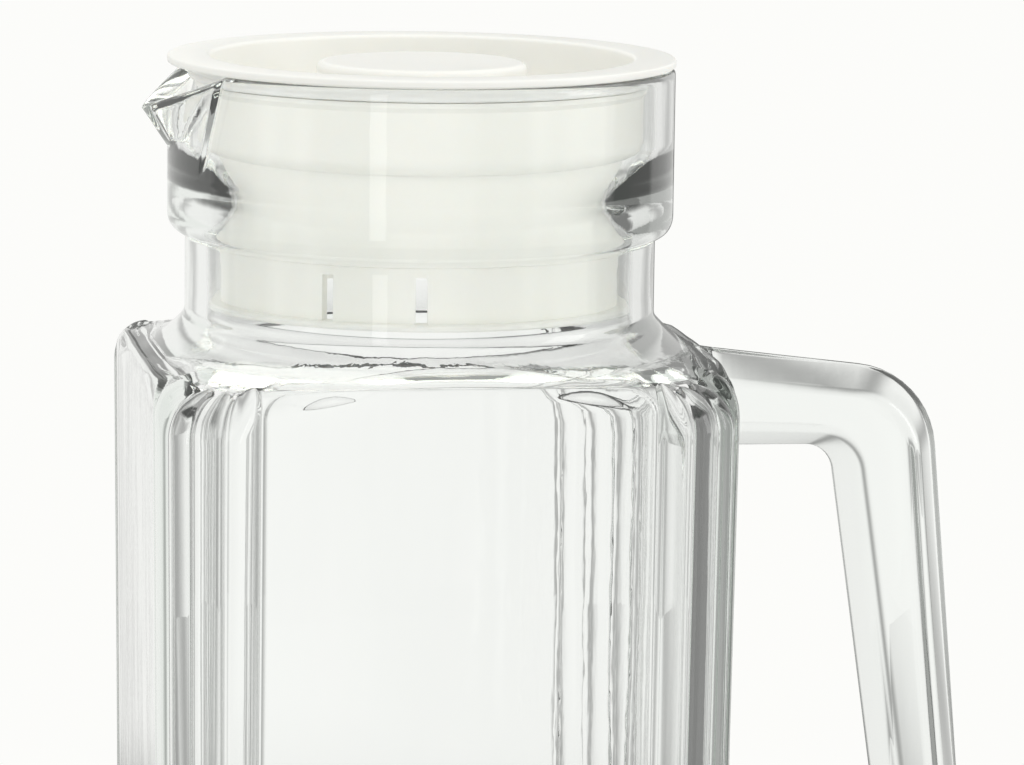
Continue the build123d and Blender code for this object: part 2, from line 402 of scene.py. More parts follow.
@dataclass(frozen=True)
class PlasticFinish(Finish):
    """Moulded plastic that lets a little light in, with a gloss that varies by gloss_range."""

    depth: float = 1.5
    share: float = 0.25
    gloss_range: float = 0.12

    def make(self, group: NodeTree) -> Material:
        """Builds the plastic material.

        Args:
            group: The shared unevenness group.

        Returns:
            The material.
        """
        material, n, shader, rough = self.start(group)
        shader.inputs["Subsurface Weight"].default_value = self.share
        shader.inputs["Subsurface Radius"].default_value = (1.0, 0.9, 0.8)
        shader.inputs["Subsurface Scale"].default_value = self.depth * MM
        lowest = self.roughness - self.gloss_range / 2.0
        shine = n.math("MULTIPLY_ADD", rough.outputs["Mask"], self.gloss_range, lowest)
        material.node_tree.links.new(shine, shader.inputs["Roughness"])
        return material


@dataclass
class Outline:
    """One line of points round the body; every ring of the glass keeps its order.

    Beside each point's place and normal it holds the relief of the ribs, the distance along the
    surface from the panel's middle, and how far the point is into a corner: 0 on a panel, 1 well
    inside the ribs. The rolled upper edge widens by a share of its own, which begins on the panel.
    """

    point: np.ndarray
    normal: np.ndarray
    rib: np.ndarray
    along: np.ndarray
    corner: np.ndarray
    roll: np.ndarray

    @property
    def angle(self) -> np.ndarray:
        """Polar angle of each point."""
        return np.arctan2(self.point[:, 1], self.point[:, 0])


@dataclass
class PouringLip:
    """Angular pouring lip that stands out of the collar towards -X."""

    top: float = -1.3
    tip: tuple[float, float] = (48.1, -7.4)
    keel_lean: float = 0.70
    crease_angle: float = 31.6
    crease_lean: float = 0.5
    crease_depth: float = 0.5
    crease_width: float = 0.8
    crease_foot: float = -19.0
    crease_fade: float = 5.0
    crease_sweep: float = 9.5
    keel_round: float = 0.9
    rim_fall: float = 0.54
    wall: float = 3.6
    channel_angle: float = 25.5
    channel_lean: float = 1.4
    channel_least: float = 4.0
    grid_angle: float = 28.0
    grid_end: float = 60.0

    def crease(self, z: np.ndarray) -> np.ndarray:
        """Angle between the keel and the crease at each height, in degrees."""
        return self.crease_angle + self.crease_lean * (z - self.top)

    def steer(self, off: np.ndarray, z: np.ndarray) -> np.ndarray:
        """Shifts angles off the keel so that one grid line runs down the crease.

        Args:
            off: Angles off the keel, in degrees.
            z: Heights of the points.

        Returns:
            The shifted angles.
        """
        side, size = np.sign(off), np.abs(off)
        crease = np.clip(self.crease(z), self.crease_angle - self.crease_sweep, self.crease_angle)
        near = size * crease / self.grid_angle
        far = crease + (size - self.grid_angle) * (self.grid_end - crease) / (self.grid_end - self.grid_angle)
        return side * np.where(size < self.grid_angle, near, np.where(size < self.grid_end, far, size))

    def flank(self, off: np.ndarray, reach: np.ndarray, root: float, angle: np.ndarray) -> np.ndarray:
        """Distance from the axis to a straight flank between the keel and its root.

        Args:
            off: Angles off the keel, in degrees.
            reach: Distance of the keel from the axis.
            root: Radius on which the flank ends.
            angle: Angle off the keel at which it ends, in degrees.

        Returns:
            The distance at each angle.
        """
        soft = np.sqrt(off**2 + self.keel_round**2)
        a, end = np.radians(soft), np.radians(angle)
        x, y = root * np.cos(end), root * np.sin(end)
        return y * reach / np.maximum(y * np.cos(a) + (reach - x) * np.sin(a), 1e-6)

    def keel(self, z: np.ndarray) -> np.ndarray:
        """Distance of the keel from the axis at each height."""
        return self.tip[0] + (z - self.tip[1]) * self.keel_lean

    def outside(self, off: np.ndarray, z: np.ndarray, radius: float) -> np.ndarray:
        """Outer radius of the collar with the lip on it.

        Args:
            off: Angles off the keel, in degrees.
            z: Heights of the points.
            radius: Radius of the plain collar.

        Returns:
            The radius at each point.
        """
        crease = self.crease(z)
        flank = self.flank(off, self.keel(z), radius, crease)
        inside = np.abs(off) < crease
        shape = np.where(inside & (self.keel(z) > radius), np.maximum(flank, radius), radius)
        pinch = self.crease_depth * smooth(z, self.crease_foot, self.crease_foot + self.crease_fade)
        return shape - pinch * np.exp(-(((np.abs(off) - crease) / self.crease_width) ** 2))

    def bore(self, off: np.ndarray, z: np.ndarray, radius: float) -> np.ndarray:
        """Inner radius of the collar with the pouring channel cut into it.

        Args:
            off: Angles off the keel, in degrees.
            z: Heights of the points.
            radius: Radius of the plain bore.

        Returns:
            The radius at each point.
        """
        reach = self.keel(z) - self.wall
        angle = np.maximum(self.channel_angle + self.channel_lean * (z - self.top), self.channel_least)
        flank = self.flank(off, reach, radius, angle)
        return np.where((np.abs(off) < angle) & (reach > radius), np.maximum(flank, radius), radius)


@dataclass
class Handle:
    """Solid D-shaped glass bar on the body's right side."""

    root: float = 46.1
    skin: float = 48.0
    top: float = -49.0
    upper: tuple[float, float] = (88.7, -54.2)
    lower: tuple[float, float] = (98.7, -163.0)
    low_end: float = -178.5
    inner_top: float = -67.0
    inner_upper: tuple[float, float] = (70.6, -67.0)
    inner_lower: tuple[float, float] = (82.2, -144.5)
    inner_low_end: float = -160.5
    outer_bend: float = 15.8
    inner_bend: float = 4.5
    width: float = 15.2
    outer_ridge: float = 4.9
    inner_ridge: float = 4.2
    edge_round: float = 1.3
    flare: float = 3.4
    gusset: float = 43.0
    gusset_drop: float = 0.9
    gusset_depth: float = 2.2

    def path(self, corners: Sequence[tuple[float, float]], radius: float) -> np.ndarray:
        """Line through two rounded bends, with the same number of points for any bend.

        Args:
            corners: Its start, two bends and end, as (x, z).
            radius: Radius of both bends.

        Returns:
            The points, one row each.
        """
        p = [np.array(c, float) for c in corners]
        near = np.array([0.0, 0.012, 0.03, 0.05, 0.07, 0.10, 0.13, 0.17, 0.25, 0.5, 0.8])
        parts, start = [], p[0]
        for k in (1, 2):
            back, ahead = (p[k - 1] - p[k]), (p[k + 1] - p[k])
            back, ahead = back / np.linalg.norm(back), ahead / np.linalg.norm(ahead)
            half = math.acos(float(np.clip(back @ ahead, -1.0, 1.0))) / 2.0
            run = radius / math.tan(half)
            first, last = p[k] + back * run, p[k] + ahead * run
            share = near if k == 1 else np.linspace(0.0, 1.0, 9)[:-1]
            parts.append(start + share[:, None] * (first - start))
            centre = p[k] + (back + ahead) / np.linalg.norm(back + ahead) * radius / math.sin(half)
            a, b = first - centre, last - centre
            span = math.pi - 2.0 * half
            for s in np.linspace(0.0, 1.0, 11)[:-1]:
                arm = (math.sin((1 - s) * span) * a + math.sin(s * span) * b) / math.sin(span)
                parts.append((centre + arm)[None])
            start = last
        parts.append(start + (1.0 - near[::-1])[:, None] * (p[3] - start))
        return np.vstack(parts)

    def swell(self, x: np.ndarray) -> np.ndarray:
        """How far the bar has widened near the body, at each distance from the axis."""
        gap = np.clip((x - self.skin) / self.flare, 0.0, 1.0)
        return self.flare * (1.0 - np.sqrt(1.0 - (1.0 - gap) ** 2))

    def section(self, outer: np.ndarray, inner: np.ndarray, swell: float) -> np.ndarray:
        """Six-sided section with a ridge on the outside and one on the inside of the bar.

        Args:
            outer: (x, z) of the outer ridge.
            inner: (x, z) of the inner ridge.
            swell: How much wider than usual the section is.

        Returns:
            Its points, one row each, as (x, y, z).
        """
        depth = float(np.linalg.norm(outer - inner))
        across = (outer - inner) / depth
        half = self.width / 2.0 + swell
        far, near = (min(v, depth / 3.0) for v in (self.outer_ridge, self.inner_ridge))
        corners = [
            np.array(c)
            for c in ((depth, 0.0), (depth - far, -half), (near, -half), (0.0, 0.0), (near, half), (depth - far, half))
        ]
        points = []
        for k, corner in enumerate(corners):
            back, ahead = corners[k - 1] - corner, corners[(k + 1) % len(corners)] - corner
            cut = min(self.edge_round, *(0.45 * float(np.linalg.norm(v)) for v in (back, ahead)))
            first = corner + back / np.linalg.norm(back) * cut
            last = corner + ahead / np.linalg.norm(ahead) * cut
            for t in np.linspace(0.0, 1.0, 6):
                u, v = (1.0 - t) ** 2 * first + 2.0 * t * (1.0 - t) * corner + t**2 * last
                points.append((inner[0] + across[0] * u, v, inner[1] + across[1] * u))
        return np.array(points)

    def build(self) -> Object:
        """Lofts the sections along the bar and closes both ends.

        Returns:
            The closed bar.
        """
        far_corners = (self.root, self.top), self.upper, self.lower, (self.root, self.low_end)
        near_start, near_end = (self.root, self.inner_top), (self.root, self.inner_low_end)
        outside = self.path(far_corners, self.outer_bend)
        inside = self.path((near_start, self.inner_upper, self.inner_lower, near_end), self.inner_bend)
        outer_swell, inner_swell = self.swell(outside[:, 0]), self.swell(inside[:, 0])
        lower_half = np.arange(len(outside)) > len(outside) // 2
        outside[:, 1] -= np.where(lower_half, outer_swell, 0.0)
        inside[:, 1] += np.where(lower_half, inner_swell, -inner_swell)
        rings = [self.section(o, i, float(min(s, t))) for o, i, s, t in zip(outside, inside, outer_swell, inner_swell)]
        lift = np.array((self.gusset, self.top + self.gusset_drop))
        rings.insert(0, self.section(lift, lift - (0.0, self.gusset_depth), 0.0))
        count = len(rings[0])
        faces = ring_faces(len(rings), count)
        faces.append(list(range(count)))
        faces.append([(len(rings) - 1) * count + k for k in range(count)][::-1])
        return mesh_object("handle_bar", np.vstack(rings), faces)


@dataclass
class GlassVessel:
    """Square ribbed vessel, neck, collar with lip and handle, all one piece of pressed glass."""

    half: float = 48.0
    panel: float = 32.3
    ribs: int = 4
    groove: float = 0.9
    crown: float = 0.28
    rib_fullness: float = 0.5
    rib_steps: int = 9
    corner_ramp: float = 16.0
    panel_corner: float = 4.0
    panel_inset: float = 0.5
    relief_edge: float = 0.25
    panel_margin: float = 8.0
    base_edge: float = 4.0
    push_up: float = 1.2
    push_up_rim: tuple[float, float] = (0.66, 0.86)
    floor: float = 9.0
    taper: float = 0.010
    taper_from: float = -55.0
    taper_run: float = 95.0
    roof_z: float = -48.2
    roof_slope: float = 0.05
    corner_drop: float = 1.9
    edge_roll: float = 2.4
    corner_roll: float = 7.5
    roll_lead: float = 0.5
    lead_from: float = 20.0
    border_z: float = -48.8
    border_share: float = 0.22
    skirt_radius: float = 46.6
    skirt_bend: float = 1.7
    foot_radius: float = 40.1
    foot_z: float = -44.0
    neck_fillet: float = 2.4
    neck: float = 39.4
    neck_bore: float = 35.6
    collar: float = 42.4
    collar_bore: float = 39.3
    collar_foot: float = -29.4
    collar_round: float = 3.2
    collar_nook: float = 0.7
    rim: float = -1.5
    rim_round: float = 1.0
    ledge: float = -15.0
    ledge_fall: float = 13.0
    cavity_half: float = 44.2
    cavity_corner: float = 13.0
    roof_wall: float = 1.5
    cavity_mouth: float = 38.0
    cavity_mouth_z: float = -45.9
    mouth_round: float = 1.6
    cavity_roll: float = 1.3
    cavity_corner_roll: float = 5.0
    cavity_floor_roll: float = 7.0
    lip_from: float = -20.0
    lip: PouringLip = field(default_factory=PouringLip)
    handle: Handle = field(default_factory=Handle)

    def side_steps(self) -> np.ndarray:
        """Distances from a panel's middle at which the mesh has a line, denser at its middle and edges."""
        one = np.concatenate(
            (
                np.arange(0.3, 6.0, 0.6),
                np.arange(6.3, 22.5, 1.6),
                np.linspace(23.0, self.panel - 3.0, 13)[:-1],
                np.linspace(self.panel - 3.0, self.panel, 9)[:-1],
            )
        )
        return np.concatenate((-one[::-1], one))

    def outline(self) -> Outline:
        """Walks once round the body through four panels and four ribbed corners.

        Returns:
            The outline without its relief, and the relief of the ribs.
        """
        steps = self.side_steps()
        turns = np.linspace(0.0, 90.0, self.ribs * self.rib_steps + 1)
        radius = self.half - self.panel
        points, normals, rib, along, corner, roll = [], [], [], [], [], []
        for side in Side:
            a = math.radians(side.value)
            ahead, left = np.array((math.cos(a), math.sin(a))), np.array((-math.sin(a), math.cos(a)))
            for u in steps:
                points.append(ahead * self.half + left * u)
                normals.append(ahead)
                rib.append(0.0)
                along.append(abs(u))
                corner.append(0.0)
                roll.append(self.roll_lead * float(smooth(np.array(abs(u)), self.lead_from, self.panel)))
            for t in turns:
                b = math.radians(t)
                out = ahead * math.cos(b) + left * math.sin(b)
                points.append((ahead + left) * self.panel + out * radius)
                normals.append(out)
                swell = 1.0 - (2.0 * ((t / 90.0 * self.ribs) % 1.0) - 1.0) ** 2
                rib.append(-self.groove + (self.groove + self.crown) * swell**self.rib_fullness)
                along.append(self.panel + radius * math.radians(min(t, 90.0 - t)))
                corner.append(min(1.0, min(t, 90.0 - t) / self.corner_ramp))
                roll.append(self.roll_lead + (1.0 - self.roll_lead) * corner[-1])
        return Outline(*(np.array(v) for v in (points, normals, rib, along, corner, roll)))

    def relief(self, line: Outline, below: np.ndarray, above: np.ndarray) -> np.ndarray:
        """How far the surface stands out of the plain body, which is at the height of the panels.

        Args:
            line: The outline.
            below: Distance of each point below the panel's top border.
            above: Distance of each point above the panel's lower border.

        Returns:
            The displacement along the surface's normal.
        """
        r = self.panel_corner
        u = line.along - (self.panel - self.panel_inset - r)
        v = np.maximum(-below, -above) + r
        outside = np.hypot(np.maximum(u, 0.0), np.maximum(v, 0.0)) + np.minimum(np.maximum(u, v), 0.0) - r
        ground = np.where(line.along > self.panel - 1e-6, line.rib, -self.groove)
        return ground * smooth(outside, -self.relief_edge, self.relief_edge)

    def lean(self, z: np.ndarray) -> np.ndarray:
        """How far the walls have drawn in at each height, as the mould's draft makes them."""
        return self.taper * np.clip(self.taper_from - z, 0.0, self.taper_run)

    def place(self, line: Outline, inset: np.ndarray, z: np.ndarray, out: np.ndarray, up: np.ndarray) -> np.ndarray:
        """Ring of points inset from the outline, moved by a relief along the surface's normal.

        Args:
            line: The outline.
            inset: How far each point lies inside the outline.
            z: Height of each point.
            out: Horizontal part of the relief.
            up: Vertical part of the relief.

        Returns:
            The points, one row each.
        """
        flat = line.point + line.normal * (out - inset - self.lean(z))[:, None]
        return np.column_stack((flat, z + up))

    def roof(self, radius: np.ndarray, inside: bool = False) -> np.ndarray:
        """Height of the shoulder: a hollow skirt round the neck's foot, then a nearly level plateau.

        Args:
            radius: Distances from the axis.
            inside: Whether it is the side towards the cavity.

        Returns:
            The height at each distance.
        """
        level = self.roof_z - self.roof_wall if inside else self.roof_z
        foot, foot_z = (self.cavity_mouth, self.cavity_mouth_z) if inside else (self.foot_radius, self.foot_z)
        share = np.clip((radius - foot) / (self.skirt_radius - foot), 0.0, 1.0)
        skirt = (foot_z - level) * (1.0 - share) ** self.skirt_bend
        return level + skirt - self.roof_slope * np.maximum(radius - self.skirt_radius, 0.0)

    def body_rings(self, line: Outline) -> list[np.ndarray]:
        """Rings from the middle of the base up to the foot of the neck.

        Args:
            line: The outline.

        Returns:
            The rings, from the lowest.
        """
        count = len(line.rib)
        flat, rings = np.zeros(count), []
        # underside, from its middle outwards
        for share in (0.06, 0.2, 0.4, 0.6, 0.72, 0.8, 0.86):
            lift = self.push_up * (1.0 - float(smooth(np.array(share), *self.push_up_rim)))
            rings.append(np.column_stack((line.point * share, np.full(count, BASE_Z + lift))))
        # rounded lower edge
        edge = self.base_edge
        base_relief = self.relief(line, flat + FAR, flat - self.panel_margin)
        for a in np.radians(np.linspace(0.0, 90.0, 8)):
            inset, z = flat + edge * (1 - math.sin(a)), flat + BASE_Z + edge * (1 - math.cos(a))
            rings.append(self.place(line, inset, z, base_relief * math.sin(a) ** 2, flat))
        # walls, with closer rings along the borders of the panels
        roll = self.edge_roll + (self.corner_roll - self.edge_roll) * line.roll
        inside = line.point - line.normal * roll[:, None]
        roof = self.roof(np.hypot(inside[:, 0], inside[:, 1])) - self.corner_drop * line.corner
        start = roof - roll
        low = BASE_Z + edge
        border = BASE_Z + self.panel_margin
        rise = [border + d - low for d in np.concatenate((np.linspace(-3.0, 6.0, 19), np.arange(10.0, 112.0, 12.0)))]
        top_border = np.minimum(self.border_z, roof - self.border_share * roll)
        gaps = (22.0, 16.0, 12.0, 9.5, 8.0, 7.0, 6.0, 5.4, 4.8, 4.2, 3.6, 3.0, 2.5, 2.0, 1.5, 1.0, 0.5, 0.0)
        for z in [flat + low + d for d in (1.0, *rise)] + [start - gap for gap in gaps]:
            rings.append(self.place(line, flat, z, self.relief(line, top_border - z, z - border), flat))
        # rolled upper edge
        for a in np.radians(np.linspace(6.0, 84.0, 14)):
            z = start + roll * math.sin(a)
            stand = self.relief(line, top_border - z, flat + FAR)
            rings.append(self.place(line, roll * (1.0 - math.cos(a)), z, stand * math.cos(a), stand * math.sin(a)))
        # shoulder, in to the foot of the neck
        last = rings[-1]
        angle, radius = line.angle, np.hypot(last[:, 0], last[:, 1])
        for share in (0.03, 0.08, 0.14, 0.22, 0.32, 0.42, 0.5, 0.58, 0.66, 0.74, 0.82, 0.9, 0.96, 1.0):
            r = radius + (self.foot_radius - radius) * share
            left = 1.0 - float(smooth(np.array(share), 0.0, 0.5))
            rings.append(circle(angle, r, self.roof(r) + (last[:, 2] - self.roof(radius)) * left))
        return rings

    def collar_rings(self, line: Outline) -> list[np.ndarray]:
        """Rings up the outside of the neck and the collar, over the rim and down inside to the bore.

        Args:
            line: The outline.

        Returns:
            The rings, in that order.
        """
        # outside of the neck and the plain part of the collar
        angle, nook = line.angle, self.collar_nook
        fillet, middle = self.neck_fillet, self.foot_z + self.neck_fillet * math.sqrt(0.5)
        profile = arc((self.neck + fillet, middle), fillet, 220.0, 180.0, 5)
        profile += [(self.neck, z) for z in np.linspace(middle + 1.5, self.collar_foot - 1.2, 6)]
        profile += arc((self.neck + nook, self.collar_foot - nook), nook, 155.0, 90.0, 3)
        bulge = self.collar - self.neck - nook
        for a in np.radians(np.linspace(12.0, 90.0, 9)):
            swell = self.collar_round * (1.0 - math.cos(a))
            profile.append((self.neck + nook + bulge * math.sin(a), self.collar_foot + swell))
        profile += [(self.collar, z) for z in (-25.0, -23.0, self.lip_from)]
        rings = [circle(angle, r, z) for r, z in profile]
        # collar with the lip, up to the rounded rim
        keel_off = np.degrees((angle % (2.0 * math.pi)) - math.pi)
        rim_z = self.rim_height(keel_off)
        shoulder = rim_z - self.rim_round
        for share in np.linspace(0.0, 1.0, 26)[1:]:
            z = self.lip_from + (shoulder - self.lip_from) * share
            turned = self.lip.steer(keel_off, z)
            rings.append(circle(np.radians(turned) + math.pi, self.lip.outside(turned, z, self.collar), z))
        turned = self.lip.steer(keel_off, shoulder)
        outer = self.lip.outside(turned, shoulder, self.collar)
        inner = self.lip.bore(turned, shoulder, self.collar_bore)
        for a in np.radians(np.linspace(0.0, 180.0, 11)[1:-1]):
            r = (outer + inner) / 2.0 + (outer - inner) / 2.0 * math.cos(a)
            rings.append(circle(np.radians(turned) + math.pi, r, shoulder + self.rim_round * math.sin(a)))
        # bore of the collar, which narrows to that of the neck
        low = self.ledge + 1.0
        for share in np.linspace(0.0, 1.0, 20):
            z = shoulder + (low - shoulder) * share
            turned = self.lip.steer(keel_off, z)
            rings.append(circle(np.radians(turned) + math.pi, self.lip.bore(turned, z, self.collar_bore), z))
        step = self.collar_bore - self.neck_bore
        for share in np.linspace(0.0, 1.0, 9)[1:]:
            narrowing = step * float(smooth(np.array(share), 0.0, 1.0))
            rings.append(circle(angle, self.collar_bore - narrowing, low - (self.ledge_fall + 1.0) * share))
        return rings

    def rim_height(self, off: np.ndarray) -> np.ndarray:
        """Height of the rim, which falls along the lip towards its tip.

        Args:
            off: Angles off the keel, in degrees.

        Returns:
            The height at each angle.
        """
        root = self.collar * math.cos(math.radians(self.lip.crease_angle))
        z = np.full(len(off), self.rim)
        for _ in range(8):
            turned = self.lip.steer(off, z)
            x = self.lip.outside(turned, z, self.collar) * np.cos(np.radians(turned))
            fall = np.where(np.abs(turned) < self.lip.crease_angle + 2.0, np.maximum(x - root, 0.0), 0.0)
            z = self.rim - self.lip.rim_fall * fall
        return z

    def cavity_rings(self, line: Outline) -> list[np.ndarray]:
        """Rings from the neck's bore down the inside to the middle of the floor.

        Args:
            line: The outline.

        Returns:
            The rings, from the highest.
        """
        angle = line.angle
        wall = square_radius(angle, self.cavity_half, self.cavity_corner)
        mouth = self.cavity_mouth
        bore_end = mouth - self.neck_bore
        cornered = smooth(np.abs(np.sin(2.0 * angle)), 0.5, 1.0)
        turn = self.cavity_roll + (self.cavity_corner_roll - self.cavity_roll) * cornered
        rise = self.mouth_round * bore_end
        top = self.cavity_mouth_z + rise
        # bore of the neck and its rounded mouth
        bore = np.linspace(self.ledge - self.ledge_fall - 1.5, top, 6)
        rings = [circle(angle, self.neck_bore, z) for z in bore]
        for t in np.linspace(0.15, 1.0, 7):
            rings.append(circle(angle, self.neck_bore + bore_end * t**2, top - rise * t))
        # ceiling under the shoulder, walls and floor
        for share in (0.08, 0.16, 0.25, 0.35, 0.45, 0.55, 0.65, 0.74, 0.82, 0.88, 0.93, 0.97, 0.99, 1.0):
            r = mouth + (wall - mouth) * share
            gap = np.clip((wall - r) / turn, 0.0, 1.0)
            fall = turn * (1.0 - np.sqrt(1.0 - (1.0 - gap) ** 2))
            rings.append(circle(angle, r, self.roof(r, inside=True) - fall))
        side = rings[-1][:, 2]
        floor_z, roll = BASE_Z + self.floor, self.cavity_floor_roll
        for share in (0.02, 0.06, 0.2, 0.4, 0.6, 0.8, 0.94, 1.0):
            z = side + (floor_z + roll - side) * share
            rings.append(circle(angle, wall - self.lean(z), z))
        for a in np.radians(np.linspace(12.0, 90.0, 8)):
            inset = roll * (1.0 - math.cos(a)) + self.taper * self.taper_run
            r = square_radius(angle, self.cavity_half - inset, max(self.cavity_corner - inset, 2.0))
            rings.append(circle(angle, r, floor_z + roll * (1.0 - math.sin(a))))
        rings += [circle(angle, r * share, floor_z) for share in (0.7, 0.4, 0.15)]
        return rings

    def build(self) -> Object:
        """Joins all rings into one closed mesh and unites it with the handle.

        Returns:
            The finished glass.
        """
        line = self.outline()
        rings = self.body_rings(line) + self.collar_rings(line) + self.cavity_rings(line)
        count = len(line.rib)
        faces = ring_faces(len(rings), count)
        poles = np.array(((0.0, 0.0, BASE_Z + self.push_up), (0.0, 0.0, BASE_Z + self.floor)))
        pole, last = len(rings) * count, (len(rings) - 1) * count
        for k in range(count):
            n = (k + 1) % count
            faces.append([pole, n, k])
            faces.append([pole + 1, last + k, last + n])
        glass = mesh_object("glass_jug", np.vstack([*rings, poles]), faces)
        combine(glass, self.handle.build(), Combining.JOIN)
        glass.data.shade_smooth()
        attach(glass, "jug")
        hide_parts("glass_body", "glass_neck", "glass_handle")
        return glass

    def dress(self, glass: Object, material: Material) -> None:
        """Gives the glass its material.

        Args:
            glass: The finished glass.
            material: Its material.
        """
        glass.data.materials.clear()
        glass.data.materials.append(material)


@dataclass
class Lid:
    """Push-in lid: cap with its well, knob, soft seal and strainer sleeve."""

    radius: float = 42.5
    flange: float = 1.3
    edge: float = 0.4
    well: float = 35.3
    well_depth: float = 15.0
    plug: float = 37.2
    plug_round: float = 3.4
    skin: float = 1.6
    bead: float = 0.7
    bead_z: float = -4.0
    bead_height: float = 0.8
    well_mouth_round: float = 0.7
    well_floor_round: float = 1.2
    knob_root_round: float = 0.9
    crisp: float = 0.3
    knob: float = 17.6
    knob_top: float = -1.0
    knob_round: float = 1.4
    seal: tuple[float, float] = (37.5, 39.0)
    seal_z: tuple[float, float] = (-3.8, -1.4)
    sleeve: float = 33.3
    sleeve_step: float = 0.6
    sleeve_foot: float = 35.2
    sleeve_z: float = -41.5
    foot_height: float = 1.1
    window_height: float = 7.6
    band_height: float = 1.5
    window_angle: float = 136.0
    window_direction: float = 68.95
    slot_width: float = 1.9
    slot_pitch: float = 26.3
    segments: int = 192

    def cap(self) -> Object:
        """Cap with its thin flange, round well, plug wall and bead.

        Returns:
            The closed cap.
        """
        under = -self.well_depth - self.skin
        hole = self.knob - self.skin
        profile = [(hole, under)]
        profile += arc((self.plug - self.plug_round, under + self.plug_round), self.plug_round, -90.0, 0.0, 8)
        profile += [
            (self.plug, self.bead_z - 2.0 * self.bead_height),
            (self.plug + self.bead, self.bead_z - self.bead_height),
            (self.plug + self.bead, self.bead_z),
            (self.plug, self.bead_z),
            (self.plug, -self.flange),
        ]
        profile += arc((self.radius - self.edge, -self.flange + self.edge), self.edge, -90.0, 0.0, 4)
        profile += arc((self.radius - self.edge, -self.edge), self.edge, 0.0, 90.0, 4)
        upper, lower, root = self.well_mouth_round, self.well_floor_round, self.knob_root_round
        profile += arc((self.well + upper, -upper), upper, 90.0, 180.0, 5)
        profile += arc((self.well - lower, -self.well_depth + lower), lower, 0.0, -90.0, 5)
        profile += arc((self.knob + root, -self.well_depth + root), root, -90.0, -180.0, 4)[:-1]
        profile += [(self.knob + 0.05, -self.well_depth + 0.4), (hole, -self.well_depth)]
        return lathe("lid_cap_shell", profile, self.segments, 40.0)

    def grip(self) -> Object:
        """Hollow knob with a soft upper edge and a faintly dished top.

        Returns:
            The closed knob.
        """
        hole, low = self.knob - self.skin, -self.well_depth
        profile = [(0.0, self.knob_top - self.skin)]
        profile += [(hole - 1.0, self.knob_top - self.skin), (hole, self.knob_top - self.skin - 1.0)]
        profile += [(hole, low), (self.knob, low)]
        profile += arc((self.knob - self.knob_round, self.knob_top - self.knob_round), self.knob_round, 0.0, 90.0, 7)
        profile += [(self.knob - 3.0, self.knob_top - 0.1), (self.knob / 2.0, self.knob_top - 0.25)]
        profile += [(0.0, self.knob_top - 0.3)]
        return lathe("lid_knob_grip", profile, self.segments, 50.0)

    def soft_ring(self) -> Object:
        """Seal with two rounded lips on its outside.

        Returns:
            The closed ring.
        """
        (inner, outer), (low, high) = self.seal, self.seal_z
        lobe = (high - low) / 4.0
        profile = [(inner, high), (inner, low)]
        profile += arc((outer - lobe, low + lobe), lobe, -90.0, 60.0, 6)
        profile += arc((outer - lobe, high - lobe), lobe, -60.0, 90.0, 6)
        return lathe("lid_seal_ring", profile, self.segments, 60.0)

    def strainer(self) -> Object:
        """Sleeve with its wide pouring window and two narrow slots.

        Returns:
            The closed sleeve.
        """
        top, low = -self.well_depth - self.skin, self.sleeve_z
        inner = self.sleeve - self.skin
        foot, window_top = low + self.foot_height, low + self.foot_height + self.window_height
        edge, crisp = self.sleeve_foot, self.crisp
        profile = [(inner, top), (inner, low), (edge - crisp, low), (edge, low + crisp)]
        profile += [(edge, foot - crisp), (edge - crisp, foot), (self.sleeve, foot)]
        profile += [
            (self.sleeve, window_top + self.band_height),
            (self.sleeve + self.sleeve_step, window_top + self.band_height + crisp),
            (self.sleeve + self.sleeve_step, top),
        ]
        sleeve = lathe("strainer_sleeve_ring", profile, self.segments, 30.0)
        slot = math.degrees(self.slot_width / 2.0 / self.sleeve)
        behind = self.window_direction + 180.0
        openings = [("pouring_window", self.window_direction, self.window_angle / 2.0)]
        openings += [("strainer_slot", behind + self.slot_pitch * side, slot) for side in (-0.5, 0.5)]
        for name, turn, reach in openings:
            combine(sleeve, self.wedge(name, turn - reach, turn + reach, foot, window_top), Combining.CUT)
        sleeve.data.set_sharp_from_angle(angle=math.radians(30.0))
        return sleeve

    def wedge(self, name: str, start: float, end: float, low: float, high: float) -> Object:
        """Cutter that covers a sector outside the plug's middle.

        Args:
            name: Name of the cutter.
            start: First direction, in degrees.
            end: Last direction.
            low: Its lower height.
            high: Its upper height.

        Returns:
            The closed cutter.
        """
        turns = np.radians(np.linspace(start, end, max(2, int((end - start) / 6.0) + 2)))
        near, far = self.sleeve - 5.0, self.sleeve + 6.0
        points = np.vstack([
            np.vstack((circle(turns, far, z), circle(turns[::-1], near, z))) for z in (low, high)
        ])
        count = 2 * len(turns)
        faces = [[k, (k + 1) % count, count + (k + 1) % count, count + k] for k in range(count)]
        half = count // 2
        for k in range(half - 1):
            a, b, c, d = k, k + 1, count - 2 - k, count - 1 - k
            faces += [[d, c, b, a], [count + a, count + b, count + c, count + d]]
        return mesh_object(name, points, faces)

    def build(self) -> dict[str, Object]:
        """Builds the four pieces and puts each on its body.

        Returns:
            The pieces by the name of the solid that each stands for.
        """
        pieces = {
            "lid_cap": self.cap(),
            "lid_knob": self.grip(),
            "lid_seal": self.soft_ring(),
            "strainer_sleeve": self.strainer(),
        }
        for node, piece in pieces.items():
            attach(piece, "seal" if node == "lid_seal" else "lid")
            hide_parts(node)
        return pieces

    def dress(self, pieces: dict[str, Object], plastic: Material, soft: Material) -> None:
        """Gives each piece its material and slot.

        Args:
            pieces: The pieces by the name of their solid.
            plastic: Material of the hard pieces.
            soft: Material of the seal.
        """
        for node, piece in pieces.items():
            piece.data.materials.clear()
            piece.data.materials.append(soft if node == "lid_seal" else plastic)


